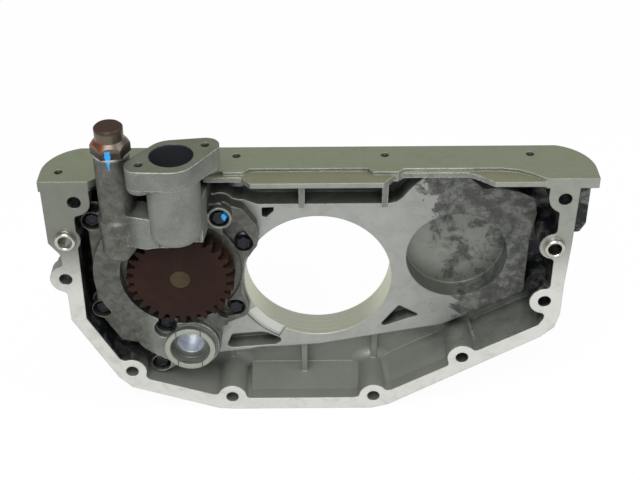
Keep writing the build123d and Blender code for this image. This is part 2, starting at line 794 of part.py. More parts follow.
# -------------------------------------------------------------------- fixings
def make_bolt(x, z, seat):
    """Flange-head bolt, its head towards the engine."""
    top = seat - bolt_head_height
    hexagon = Pos(x, z) * RegularPolygon(bolt_hex / 2, 6, major_radius=False, rotation=x)
    head = slab(hexagon, top, seat - 1)
    head += drill(x, z, bolt_flange_radius, seat - bolt_flange_height, seat)
    return head + drill(x, z, bolt_radius, seat - 1, platform_depth + bolt_grip)


def make_bolts(places, seat):
    return Compound(children=[make_bolt(x, z, seat) for x, z in places])


def make_sleeve(place):
    x, z = place
    sleeve = drill(x, z, sleeve_radius, -sleeve_stand, 1)
    sleeve += drill(x, z, sleeve_radius + sleeve_press, 0, sleeve_length - sleeve_stand)
    sleeve -= drill(x, z, sleeve_bore_radius, -sleeve_stand - 1, sleeve_length)
    lips = sleeve.edges().filter_by(GeomType.CIRCLE).group_by(Axis.Y)[0]
    return chamfer(lips, sleeve_lead)


def make_pin(place):
    half = pin_length / 2
    return drill(place[0], place[1], pin_radius, platform_depth - half, platform_depth + half)


parts = {
    "front_cover_housing": make_housing(),
    "pump_body": make_pump_body(),
    "drive_gear": make_drive_gear(),
    "drive_shaft": make_drive_shaft(),
    "drive_rotor": make_drive_rotor(),
    "driven_rotor": make_driven_rotor(),
    "driven_rotor_bush": make_driven_rotor_bush(),
    "idler_shaft": make_idler_shaft(),
    "drive_shaft_bush_front": make_shaft_bush(recess_floor, platform_depth),
    "drive_shaft_bush_rear": make_shaft_bush(chamber_floor, chamber_floor + bush_length),
    "relief_piston": make_relief_piston(),
    "relief_spring": make_relief_spring(),
    "relief_plug": make_relief_plug(),
    "relief_plug_washer": make_relief_plug_washer(),
    "pump_bolts_flange": make_bolts(flange_bolts, bolt_seat),
    "pump_bolts_ear": make_bolts(ear_bolts, ear_floor),
    "pump_bolt_inner": make_bolt(*inner_bolt, bolt_seat),
    "pump_bolt_painted": make_bolt(*painted_bolt, painted_boss_front + bolt_head_height),
    "dowel_sleeve_left": make_sleeve(sleeve_left),
    "dowel_sleeve_right": make_sleeve(sleeve_right),
    "pump_dowel_upper": make_pin(pins[0]),
    "pump_dowel_lower": make_pin(pins[1]),
}

os.makedirs("parts", exist_ok=True)
for name, solid in parts.items():
    export_step(solid, os.path.join("parts", name + ".step"))
    print(name, round(solid.volume))
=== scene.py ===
"""Looks of an engine front cover with its gear oil pump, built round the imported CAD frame.

Lengths are millimetres in the sizes below and metres in Blender, in the frame of the CAD:
the origin is on the crankshaft axis, +Z points out of the sump face and -Y out of the
mating face, towards the engine.
"""

import logging
import math
from dataclasses import dataclass, field
from enum import Enum

import bpy
from mathutils import Matrix, Vector

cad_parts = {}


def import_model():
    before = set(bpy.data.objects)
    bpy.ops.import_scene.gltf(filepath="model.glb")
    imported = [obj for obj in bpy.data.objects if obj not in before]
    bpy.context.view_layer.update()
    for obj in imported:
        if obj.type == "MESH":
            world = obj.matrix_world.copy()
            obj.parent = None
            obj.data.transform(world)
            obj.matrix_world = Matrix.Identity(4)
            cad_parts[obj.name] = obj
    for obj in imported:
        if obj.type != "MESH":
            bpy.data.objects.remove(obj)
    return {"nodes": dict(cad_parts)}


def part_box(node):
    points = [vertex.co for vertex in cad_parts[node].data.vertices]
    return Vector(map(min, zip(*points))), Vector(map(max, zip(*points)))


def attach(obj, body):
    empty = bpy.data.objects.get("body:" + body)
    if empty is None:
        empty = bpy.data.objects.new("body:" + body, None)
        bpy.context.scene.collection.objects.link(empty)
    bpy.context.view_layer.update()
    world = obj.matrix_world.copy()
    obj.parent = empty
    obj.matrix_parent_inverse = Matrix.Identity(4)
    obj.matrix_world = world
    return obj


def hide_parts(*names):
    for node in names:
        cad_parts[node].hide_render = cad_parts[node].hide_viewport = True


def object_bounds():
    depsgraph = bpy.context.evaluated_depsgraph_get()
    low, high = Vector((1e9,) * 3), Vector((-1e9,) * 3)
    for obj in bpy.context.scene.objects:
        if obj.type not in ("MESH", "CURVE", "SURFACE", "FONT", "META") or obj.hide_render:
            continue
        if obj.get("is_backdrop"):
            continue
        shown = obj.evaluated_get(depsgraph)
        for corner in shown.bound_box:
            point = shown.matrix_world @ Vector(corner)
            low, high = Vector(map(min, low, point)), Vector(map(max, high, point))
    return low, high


log = logging.getLogger("oil_pump")
Colour = tuple[float, float, float, float]
Tones = tuple[Colour, Colour]
Point = tuple[float, float, float]
Pair = tuple[float, float]
Pairs = tuple[Pair, ...]
Socket = bpy.types.NodeSocket
Material = bpy.types.Material
Object = bpy.types.Object
MM = 0.001
CARRIER = "front_cover"  # the body that fixed pieces ride on
FACE_MARGIN = 0.15  # how far off a plane still counts as the face, in millimetres
WALL_MARGIN = 0.3  # the same off a round wall, which has facets
SQUARE_ENOUGH = 0.97  # the least part of a normal along the way a face looks


def mm(*values: float) -> Vector:
    """A place or a size in millimetres as a vector in metres."""
    return Vector(values) * MM


def paint(red: int, green: int, blue: int) -> Colour:
    """A colour as it is seen on a screen, as the linear colour that a shader takes.

    Args:
        red, green, blue: parts of the colour, 0 to 255.

    Returns:
        The linear colour with an alpha of 1.
    """
    def linear(part: int) -> float:
        """One part of the colour, from 0 to 1, by the sRGB curve."""
        share = part / 255
        return share / 12.92 if share < 0.04045 else ((share + 0.055) / 1.055) ** 2.4
    return (linear(red), linear(green), linear(blue), 1.0)


MARKER_PAINT = paint(24, 150, 222)
WHITE: Colour = (1.0, 1.0, 1.0, 1.0)


@dataclass(frozen=True)
class Pattern:
    """A cloudy pattern: its clouds' width in millimetres, finer layers and distortion.

    The strength is what it is scaled by. As patches, it first runs from 0 where the noise is at
    the span's first value to 1 at its second.
    """

    size: float
    detail: float = 3.0
    rough: float = 0.5
    warp: float = 0.0
    span: Pair = (0.0, 1.0)
    strength: float = 1.0


@dataclass(frozen=True)
class Line:
    """A number that follows a pattern: what it is at 0, and how much it gains up to 1."""

    base: float
    gain: float


@dataclass(frozen=True)
class Wash:
    """A colour laid over another by a pattern, whose span runs from none of it to all of it."""

    colour: Colour
    span: Pair
    strength: float = 1.0


FINE_SPECKS = Pattern(0.8, 2.0, 0.6)


class Facing(Enum):
    """Which way a milled face of the cover looks, as the sign along its axis."""

    FRONT = -1
    UP = 1


# ------------------------------------------------------------------ shader maths
class Value:
    """A number in a shader. Expressions on values add Math nodes."""

    def __init__(self, graph: "Graph", socket: Socket) -> None:
        """Wraps a socket of the graph."""
        self.graph = graph
        self.socket = socket

    def math(self, operation: str, *others: "Value | float", first: bool = True) -> "Value":
        """Adds a Math node, of which this value is the first operand, or else the last."""
        operands = [self, *others] if first else [*others, self]
        made = self.graph.node("ShaderNodeMath", {"operation": operation}, dict(enumerate(operands)))
        return Value(self.graph, made.outputs[0])

    def __add__(self, other: "Value | float") -> "Value":
        """This value plus another."""
        return self.math("ADD", other)

    def __radd__(self, other: float) -> "Value":
        """A number plus this value."""
        return self.math("ADD", other)

    def __sub__(self, other: "Value | float") -> "Value":
        """This value less another."""
        return self.math("SUBTRACT", other)

    def __rsub__(self, other: float) -> "Value":
        """A number less this value."""
        return self.math("SUBTRACT", other, first=False)

    def __mul__(self, other: "Value | float") -> "Value":
        """This value times another."""
        return self.math("MULTIPLY", other)

    def __rmul__(self, other: float) -> "Value":
        """A number times this value."""
        return self.math("MULTIPLY", other)

    def __abs__(self) -> "Value":
        """This value without its sign."""
        return self.math("ABSOLUTE")

    def greater(self, limit: "Value | float") -> "Value":
        """1 where this value is over the limit, and 0 elsewhere."""
        return self.math("GREATER_THAN", limit)

    def less(self, limit: "Value | float") -> "Value":
        """1 where this value is under the limit, and 0 elsewhere."""
        return self.math("LESS_THAN", limit)

    def most(self, other: "Value | float") -> "Value":
        """The larger of two values."""
        return self.math("MAXIMUM", other)

    def along(self, line: Line) -> "Value":
        """The number that a line gives for this value."""
        return line.base + self * line.gain

    def ramp(self, low: float, high: float) -> "Value":
        """Rises smoothly from 0 at low to 1 at high, or falls where high is the smaller."""
        made = self.graph.node(
            "ShaderNodeMapRange", {"interpolation_type": "SMOOTHSTEP"},
            {"Value": self, "From Min": low, "From Max": high},
        )
        return Value(self.graph, made.outputs[0])


class Graph:
    """The nodes of a material or of the world."""

    def __init__(self, holder: Material | bpy.types.World) -> None:
        """Starts an empty graph in its holder."""
        holder.use_nodes = True
        self.tree = holder.node_tree
        self.tree.nodes.clear()

    def node(
        self, kind: str, settings: dict[str, object] | None = None,
        sockets: dict[str | int, object] | None = None,
    ) -> bpy.types.Node:
        """Adds a node of any kind.

        Args:
            kind: the node's type.
            settings: its properties, which are set first.
            sockets: the value or link of each input, by name or number.

        Returns:
            The node.
        """
        made = self.tree.nodes.new(kind)
        for key, setting in (settings or {}).items():
            setattr(made, key, setting)
        for key, given in (sockets or {}).items():
            source = given.socket if isinstance(given, Value) else given
            if isinstance(source, Socket):
                self.tree.links.new(source, made.inputs[key])
            else:
                made.inputs[key].default_value = source
        return made


class Surface(Graph):
    """The shader of one finish: its nodes, and where on the object it is being asked about."""

    coat_rough = 0.12
    probes = 6  # rays per sample, for soft edges and for shelter

    def __init__(self, name: str) -> None:
        """Starts an empty material and reads the object's coordinates, in millimetres."""
        self.material = bpy.data.materials.new(name)
        super().__init__(self.material)
        where = self.node("ShaderNodeTexCoord")
        scaled = self.node(
            "ShaderNodeVectorMath", {"operation": "SCALE"}, {0: where.outputs["Object"], "Scale": 1 / MM}
        )
        self.place = scaled.outputs[0]
        self.x, self.y, self.z = self.split(self.place)
        _, self.normal_y, self.normal_z = self.split(where.outputs["Normal"])

    def split(self, vector: Socket) -> tuple[Value, Value, Value]:
        """The three parts of a vector."""
        parts = self.node("ShaderNodeSeparateXYZ", sockets={0: vector})
        return tuple(Value(self, output) for output in parts.outputs)

    def join(self, x: Value | float, y: Value | float, z: Value | float) -> Socket:
        """A vector from three parts."""
        return self.node("ShaderNodeCombineXYZ", sockets={0: x, 1: y, 2: z}).outputs[0]

    def noise(self, pattern: Pattern, place: Socket | None = None) -> Value:
        """A cloudy pattern from 0 to 1.

        Args:
            pattern: its make-up.
            place: where to read it, if not at the surface's own place.

        Returns:
            The pattern's value.
        """
        made = self.node("ShaderNodeTexNoise", {"noise_dimensions": "3D"}, {
            "Vector": place or self.place, "Scale": 1 / pattern.size, "Detail": pattern.detail,
            "Roughness": pattern.rough, "Distortion": pattern.warp,
        })
        return Value(self, made.outputs["Fac"])

    def waves(self, pattern: Pattern) -> Value:
        """A pattern scaled by its strength."""
        return self.noise(pattern) * pattern.strength

    def patches(self, pattern: Pattern) -> Value:
        """A pattern as patches with soft borders, scaled by its strength."""
        return self.noise(pattern).ramp(*pattern.span) * pattern.strength

    def pits(self, pattern: Pattern) -> Value:
        """Scattered round pits of the pattern's size, scaled by its strength."""
        made = self.node("ShaderNodeTexVoronoi", sockets={"Vector": self.place, "Scale": 1 / pattern.size})
        return Value(self, made.outputs["Distance"]).ramp(*pattern.span) * pattern.strength

    def streaks(self, pattern: Pattern, stretch: Point) -> Value:
        """A pattern drawn out along an axis, for tool marks."""
        drawn = self.node("ShaderNodeVectorMath", {"operation": "MULTIPLY"}, {0: self.place, 1: stretch})
        return self.noise(pattern, drawn.outputs[0])

    def away_from(self, first: Value, second: Value, centre: Pair) -> Value:
        """Distance from an axis that is square to two coordinates."""
        flat = self.join(first - centre[0], second - centre[1], 0.0)
        length = self.node("ShaderNodeVectorMath", {"operation": "LENGTH"}, {0: flat})
        return Value(self, length.outputs["Value"])

    def on_plane(self, facing: Facing, at: float) -> Value:
        """1 on a flat face that lies at this many millimetres along the way it looks, and 0 elsewhere."""
        front = facing is Facing.FRONT
        along, normal = (self.y, self.normal_y) if front else (self.z, self.normal_z)
        return abs(along - at).less(FACE_MARGIN) * (normal * facing.value).greater(SQUARE_ENOUGH)

    def mix(self, share: Value | float, base: object, other: object) -> Socket:
        """Blends two colours: base where share is 0, and other where it is 1."""
        made = self.node("ShaderNodeMix", {"data_type": "RGBA"}, {0: share, 6: base, 7: other})
        return made.outputs[2]

    def wash(self, base: object, pattern: Value, wash: Wash) -> Socket:
        """Lays a wash over a colour."""
        return self.mix(pattern.ramp(*wash.span) * wash.strength, base, wash.colour)

    def blend(self, share: Value | float, base: Value | float, other: Value | float) -> Value:
        """Blends two numbers: base where share is 0, and other where it is 1."""
        made = self.node("ShaderNodeMix", {"data_type": "FLOAT"}, {0: share, 2: base, 3: other})
        return Value(self, made.outputs[0])

    def soft_edges(self, radius: float) -> Socket:
        """Normals that run round the edges as a fillet of this radius would."""
        made = self.node("ShaderNodeBevel", {"samples": self.probes}, {"Radius": radius * MM})
        return made.outputs[0]

    def edge_mask(self, soft: Socket) -> Value:
        """How near a point is to an edge, from the normals that soft_edges gives."""
        true = self.node("ShaderNodeNewGeometry").outputs["Normal"]
        dot = self.node("ShaderNodeVectorMath", {"operation": "DOT_PRODUCT"}, {0: soft, 1: true})
        return 1 - Value(self, dot.outputs["Value"])

    def shelter(self, reach: float) -> Value:
        """How enclosed a point is: 0 in the open and 1 deep in a recess."""
        made = self.node("ShaderNodeAmbientOcclusion", {"samples": self.probes}, {"Distance": reach * MM})
        return 1 - Value(self, made.outputs["AO"])

    def dress(
        self, colour: object, rough: object, metal: object, height: Value, depth: float,
        soft: Socket, coat: object = 0.0, gloss: float = 0.5,
    ) -> Material:
        """Closes the shader.

        Args:
            colour: its base colour.
            rough: its roughness.
            metal: how metallic it is.
            height: the relief of its surface, from 0 to 1.
            depth: what a height of 1 stands for, in millimetres.
            soft: normals of its rounded edges.
            coat: how much oil lies on it.
            gloss: how strongly its bare surface mirrors, where 0.5 is usual.

        Returns:
            The finished material.
        """
        bump = self.node("ShaderNodeBump", sockets={
            "Height": height, "Distance": depth * MM, "Normal": soft,
        })
        shader = self.node("ShaderNodeBsdfPrincipled", sockets={
            "Base Color": colour, "Roughness": rough, "Metallic": metal, "Coat Weight": coat,
            "Coat Roughness": self.coat_rough, "Specular IOR Level": gloss, "Normal": bump.outputs[0],
        })
        self.node("ShaderNodeOutputMaterial", sockets={0: shader.outputs[0]})
        return self.material


# -------------------------------------------------------------- places on the cover
@dataclass(frozen=True)
class CoverPlaces:
    """Planes and axes of the cover, in millimetres, that the finishes are placed by."""

    mating_y: float = -39.5
    platform_y: float = -13.5
    crescent_y: float = -11.0
    inner_back_y: float = 5.0
    inner_left_x: float = -196.0
    sump_z: float = 113.5
    ledge_z: float = 110.5
    tower_top_z: float = 145.0
    crank_axis: Pair = (0.0, 0.0)
    crank_radius: float = 62.5
    pocket: Pair = (117.0, 21.4)
    pocket_radius: float = 42.6
    pocket_floor_y: float = 5.5
    suction_axis: Pair = (-111.4, -52.9)
    suction_radius: float = 17.0
    outlet_axis: Pair = (-110.6, -57.6)
    outlet_bore_radius: float = 11.0
    outlet_step_y: float = -29.5
    relief_axis: Pair = (-158.5, -43.5)


# ----------------------------------------------------------------------- finishes
@dataclass(frozen=True)
class CastMetal:
    """Sand-cast aluminium: grainy, with pits and stains, darkened in its recesses partly by grime and
    partly by painted shade, and with its edges painted bright, partly as wear and partly as highlight.
    """

    body: Colour
    shade: Colour
    # grime_and_shade: the colour of the dark specks, and of the recesses, where it is partly grime and
    # partly painted shade
    grime_and_shade: Colour
    # pale_tone: the colour of the bright specks, and of the open edges, where it is partly wear and partly
    # painted highlight
    pale_tone: Colour
    fillet: float = 1.6
    metal = 0.55
    relief_depth = 0.16
    clouds = Pattern(28.0, 4.0, 0.6, 0.4, (0.35, 0.7))
    speckle = Pattern(1.1, 2.0, 0.7)
    light_span = (0.55, 0.8)
    dark_span = (0.42, 0.2)
    speckle_share = 0.35
    recess_reach = 16.0
    grime_and_recess_shade = Pattern(9.0, 3.0, 0.65, strength=0.35)
    grime_and_shade_span = (0.45, 1.05)
    grime_and_shade_share = 0.85
    oil_share = 0.7
    edge_span = (0.015, 0.12)
    open_span = (0.6, 0.2)
    chips = Pattern(2.2, 4.0, 0.75, 0.0, (0.36, 0.56), 0.9)
    sheen = Pattern(3.0, 3.0, 0.6)
    rough = Line(0.5, 0.16)
    dirt_gloss = 0.22
    grain = Pattern(0.9, 3.0, 0.65, strength=0.7)
    lumps = Pattern(6.0, 2.0, strength=0.6)
    pits = Pattern(2.6, span=(0.02, 0.22), strength=0.35)

    def lay(self, at: Surface) -> tuple[Socket, Value, Value, Socket, Value]:
        """Lays the casting on a surface.

        Args:
            at: the surface's shader.

        Returns:
            Its colour, its roughness, its relief, its softened normals and the oil on it.
        """
        soft = at.soft_edges(self.fillet)
        colour = at.mix(at.patches(self.clouds), self.body, self.shade)
        speckle = at.noise(self.speckle)
        colour = at.mix(speckle.ramp(*self.light_span) * self.speckle_share, colour, self.pale_tone)
        colour = at.mix(speckle.ramp(*self.dark_span) * self.speckle_share, colour, self.grime_and_shade)
        shelter = at.shelter(self.recess_reach)
        # Painted shade and grime: recesses found by occlusion, mottled by noise, are darkened in the
        # colour; the same mask also lays the oil.
        grime_and_recess_shade = (shelter + at.waves(self.grime_and_recess_shade)).ramp(*self.grime_and_shade_span)
        colour = at.mix(grime_and_recess_shade * self.grime_and_shade_share, colour, self.grime_and_shade)
        # Painted highlight and edge wear: open edges are painted pale, in chipped patches.
        bright_edges = at.edge_mask(soft).ramp(*self.edge_span) * shelter.ramp(*self.open_span)
        colour = at.mix(bright_edges * at.patches(self.chips), colour, self.pale_tone)
        rough = at.noise(self.sheen).along(self.rough) - grime_and_recess_shade * self.dirt_gloss
        height = at.waves(self.grain) + at.waves(self.lumps) + at.pits(self.pits)
        return colour, rough, height, soft, grime_and_recess_shade * self.oil_share


class ShadedOilyCorners:
    """The closed corners, on both sides and under the ledge: painted near-black as shade, and wet with oil.
    """

    left_x = (-142.0, -158.0)
    left_z = (-84.0, -66.0)
    right_x = (150.0, 168.0)
    right_z = (-42.0, -24.0)
    ledge_z = (70.0, 80.0)
    ledge_y = (-16.0, -8.0)
    ledge_share = 0.3
    front_y = (-39.4, -37.0)
    top_z = (108.0, 106.0)
    slant = (-0.885, 0.467)  # square to the lower left wall, outwards and down
    slant_reach = 187.0
    back_margin = 0.3
    side_margin = 0.5

    def mask(self, at: Surface, here: CoverPlaces) -> Value:
        """Where the corners are, up to the inside of the left and back walls."""
        left = at.x.ramp(*self.left_x) * at.z.ramp(*self.left_z)
        sides = left.most(at.x.ramp(*self.right_x) * at.z.ramp(*self.right_z))
        under = at.z.ramp(*self.ledge_z) * at.y.ramp(*self.ledge_y) * self.ledge_share
        inside = at.y.less(here.inner_back_y + self.back_margin)
        inside = inside * at.x.greater(here.inner_left_x - self.side_margin)
        along, down = self.slant
        inside = inside * (at.x * along - at.z * down).less(self.slant_reach)
        return sides.most(under) * at.y.ramp(*self.front_y) * at.z.ramp(*self.top_z) * inside


class OilFilm:
    """Burnt oil that has spread over the right of the web, patchy at its border."""

    slope = 0.22
    border = Pattern(30.0, 6.0, 0.68, 1.0, strength=84.0)
    border_span = (148.0, 153.0)
    patches = Pattern(11.0, 7.0, 0.74, 0.3, (0.38, 0.56))
    thickness = Line(0.55, 0.45)
    drops = Pattern(4.0, 4.0, 0.7, 0.3, (0.6, 0.68), 0.8)
    drop_reach = (118.0, 140.0)

    def mask(self, at: Surface) -> Value:
        """How thick the film is, from 0 to 1."""
        edge = at.x + at.z * self.slope + at.waves(self.border)
        drops = at.patches(self.drops) * edge.ramp(*self.drop_reach)
        film = edge.ramp(*self.border_span) * at.patches(self.patches).along(self.thickness)
        return film.most(drops)


@dataclass(frozen=True)
class CoverFaces:
    """Masks of the cover's machined faces."""

    flange: Value
    crescent: Value
    web: Value
    top: Value
    ledge: Value
    bore: Value
    pocket: Value

    @classmethod
    def find(cls, at: Surface, here: CoverPlaces) -> "CoverFaces":
        """Finds the faces."""
        from_crank = at.away_from(at.x, at.z, here.crank_axis)
        pocket = at.away_from(at.x, at.z, here.pocket).less(here.pocket_radius + WALL_MARGIN)
        pocket = pocket * at.y.greater(here.platform_y) * at.y.less(here.pocket_floor_y + WALL_MARGIN)
        return cls(
            flange=at.on_plane(Facing.FRONT, here.mating_y),
            crescent=at.on_plane(Facing.FRONT, here.crescent_y),
            web=at.on_plane(Facing.FRONT, here.platform_y),
            top=at.on_plane(Facing.UP, here.sump_z),
            ledge=at.on_plane(Facing.UP, here.ledge_z),
            bore=abs(from_crank - here.crank_radius).less(WALL_MARGIN),
            pocket=pocket,
        )

    def smooth(self) -> Value:
        """Every face that a tool has left smooth."""
        smooth = self.flange
        for face in (self.web, self.top, self.bore, self.pocket, self.crescent):
            smooth = smooth.most(face)
        return smooth


@dataclass(frozen=True)
class CoverFinish:
    """The cover: cast walls, milled faces and bores, and an oil-stained right half."""

    places: CoverPlaces
    cast: CastMetal = CastMetal(
        paint(136, 140, 131), paint(112, 115, 106), paint(32, 34, 36), paint(214, 215, 206)
    )
    milled = paint(214, 215, 208)
    worn_mill = paint(168, 170, 164)
    pocket = paint(134, 138, 129)
    sump = paint(154, 160, 134)
    bore = paint(214, 214, 194)
    # painted shade: near-black for the closed corners
    oil = paint(52, 55, 54)
    corner_shade_colour = paint(26, 27, 32)
    # painted light: the colour that lightens the trough at the bottom, in mottled patches
    trough = paint(146, 149, 140)
    trough_z = (-72.0, -86.0)
    trough_mottle = Pattern(1.6, 3.0, 0.7)
    trough_light_share = Line(0.55, 0.4)
    corners = ShadedOilyCorners()
    dark_patches = Pattern(11.0, 4.0, 0.65, 0.8, (0.78, 0.42))
    wet = Pattern(4.0, 4.0, 0.65, 0.6)
    wet_rough = Line(0.2, 0.3)
    wear = Pattern(14.0, 5.0, 0.65, 0.6)
    fine = FINE_SPECKS
    flange_wear = Wash(paint(168, 170, 164), (0.45, 0.75), 0.45)
    flange_specks = Wash(paint(120, 120, 112), (0.6, 0.85), 0.4)
    # painted shade: the mating face is darker upwards, most of all to the left
    upper_flange_shade = paint(104, 108, 96)
    upper_shade_z = (0.0, 60.0)
    upper_shade_x = (0.0, -150.0)
    upper_shade_share = Line(0.66, 0.2)
    web_wear = Wash(paint(142, 144, 140), (0.4, 0.7), 0.4)
    web_specks = Wash(paint(104, 104, 98), (0.58, 0.8), 0.35)
    web_right = Wash(paint(112, 115, 108), (40.0, 130.0), 0.5)
    pocket_wear = Wash(paint(118, 121, 112), (0.4, 0.7), 0.4)
    film = OilFilm()
    bare_span = (0.44, 0.6)
    bare_share = 0.75
    stain = Pattern(6.0, 4.0, 0.7)
    varnish = Wash(paint(74, 72, 66), (0.4, 0.65))
    tool_marks = Pattern(0.7, 4.0, 0.6)
    mark_stretch = (0.05, 1.0, 1.0)
    mark_height = 0.1
    top_marks = Wash(paint(136, 142, 118), (0.4, 0.7), 0.5)
    top_wear = Wash(paint(144, 138, 104), (0.5, 0.75), 0.5)
    top_specks = Wash(paint(104, 102, 78), (0.62, 0.85), 0.4)
    ledge = (paint(146, 146, 112), paint(120, 118, 92))
    ledge_share = 0.8
    rings = Pattern(0.9, 3.0, 0.6)
    ring_height = 0.12
    bore_rings = Wash(paint(172, 176, 152), (0.35, 0.65))
    crescent_share = 0.5
    swirl = Pattern(1.0, 3.0, 0.6)
    swirl_centre = (30.0, -180.0)
    swirl_height = 0.08
    fine_height = 0.05
    milled_rough = Line(0.36, 0.18)
    oiled_rough = Line(0.3, 0.2)
    milled_metal = 0.8
    oiled_metal = 0.2

    def build(self) -> Material:
        """Makes the material."""
        at = Surface("cover_casting")
        faces = CoverFaces.find(at, self.places)
        colour, rough, height, soft, oil = self.cast.lay(at)
        # Painted light: the trough at the bottom is lightened in mottled patches, over the darkened
        # recesses.
        trough_light = at.z.ramp(*self.trough_z) * at.noise(self.trough_mottle).along(self.trough_light_share)
        colour = at.mix(trough_light, colour, self.trough)
        # Painted shade in the closed corners, in dark patches; their wet roughness is oil.
        shaded_oily_corners = self.corners.mask(at, self.places)
        colour = at.mix(shaded_oily_corners * at.patches(self.dark_patches), colour, self.corner_shade_colour)
        rough = at.blend(shaded_oily_corners, rough, at.noise(self.wet).along(self.wet_rough))

        wear = at.noise(self.wear)
        fine = at.noise(self.fine)
        marks = at.streaks(self.tool_marks, self.mark_stretch)
        rings = at.noise(self.rings, at.join(0.0, at.y, 0.0))
        from_swirl = at.away_from(at.x, at.z, self.swirl_centre)
        swirl = at.noise(self.swirl, at.join(from_swirl, 0.0, 0.0))
        floors = faces.web.most(faces.pocket)
        bare = faces.pocket * (1 - wear.ramp(*self.bare_span))
        film = self.film.mask(at) * (1 - bare * self.bare_share) * floors

        colour = at.mix(faces.flange, colour, self.flange_colour(at, wear, fine))
        colour = at.mix(floors, colour, self.floor_colour(at, faces, wear, fine))
        colour = at.mix(film, colour, at.wash(self.oil, at.noise(self.stain), self.varnish))
        colour = at.mix(faces.top, colour, self.top_colour(at, marks, wear, fine))
        colour = at.mix(faces.ledge * self.ledge_share, colour, at.mix(fine, *self.ledge))
        colour = at.mix(faces.bore, colour, at.wash(self.bore, rings, self.bore_rings))
        pale_tone = at.mix(fine * self.crescent_share, self.milled, self.worn_mill)
        colour = at.mix(faces.crescent, colour, pale_tone)

        smooth = faces.smooth()
        rough = at.blend(smooth, rough, wear.along(self.milled_rough))
        rough = at.blend(film, rough, fine.along(self.oiled_rough))
        metal = at.blend(smooth, self.cast.metal, self.milled_metal)
        metal = at.blend(film, metal, self.oiled_metal)
        relief = swirl * self.swirl_height * faces.web.most(faces.flange) + fine * self.fine_height
        relief = relief + marks * self.mark_height * faces.top + rings * self.ring_height * faces.bore
        height = at.blend(smooth, height, relief)
        return at.dress(colour, rough, metal, height, self.cast.relief_depth, soft, (1 - smooth) * oil)

    def flange_colour(self, at: Surface, wear: Value, fine: Value) -> Socket:
        """The mating face's colour: bright below, with painted shade darkening its upper runs."""
        colour = at.wash(self.milled, wear, self.flange_wear)
        colour = at.wash(colour, fine, self.flange_specks)
        # Painted shade: darker upwards and to the left.
        upper_shade = at.z.ramp(*self.upper_shade_z) * at.x.ramp(*self.upper_shade_x).along(self.upper_shade_share)
        return at.mix(upper_shade, colour, self.upper_flange_shade)

    def floor_colour(self, at: Surface, faces: CoverFaces, wear: Value, fine: Value) -> Socket:
        """The colour of the web and of the pocket beside it."""
        web = at.wash(self.worn_mill, wear, self.web_wear)
        web = at.wash(web, fine, self.web_specks)
        web = at.wash(web, at.x, self.web_right)
        return at.mix(faces.pocket, web, at.wash(self.pocket, wear, self.pocket_wear))

    def top_colour(self, at: Surface, marks: Value, wear: Value, fine: Value) -> Socket:
        """The sump face's colour, with marks drawn along it."""
        colour = at.wash(self.sump, marks, self.top_marks)
        colour = at.wash(colour, wear, self.top_wear)
        return at.wash(colour, fine, self.top_specks)


class MarkerStripe:
    """The paint line drawn over the plug and down the relief column, to show it is tight."""

    ragged = Pattern(2.0, 3.0, 0.6)
    side_ragged = 2.4
    end_ragged = 4.8
    off_axis = 0.4
    widening_z = (136.0, 144.0)
    widening = 1.6
    side_span = (1.9, 1.3)
    low_z = (136.0, 137.5)
    high_z = (151.5, 150.5)

    def mask(self, at: Surface, here: CoverPlaces) -> Value:
        """Where the stripe is, on the near side only."""
        axis_x, axis_y = here.relief_axis
        ragged = at.noise(self.ragged)
        side = abs(at.x - (axis_x - self.off_axis)) + ragged * self.side_ragged
        side = side - at.z.ramp(*self.widening_z) * self.widening
        low = at.z + ragged * self.end_ragged
        drawn = side.ramp(*self.side_span) * low.ramp(*self.low_z) * at.z.ramp(*self.high_z)
        return drawn * (at.y - axis_y).less(0.0)


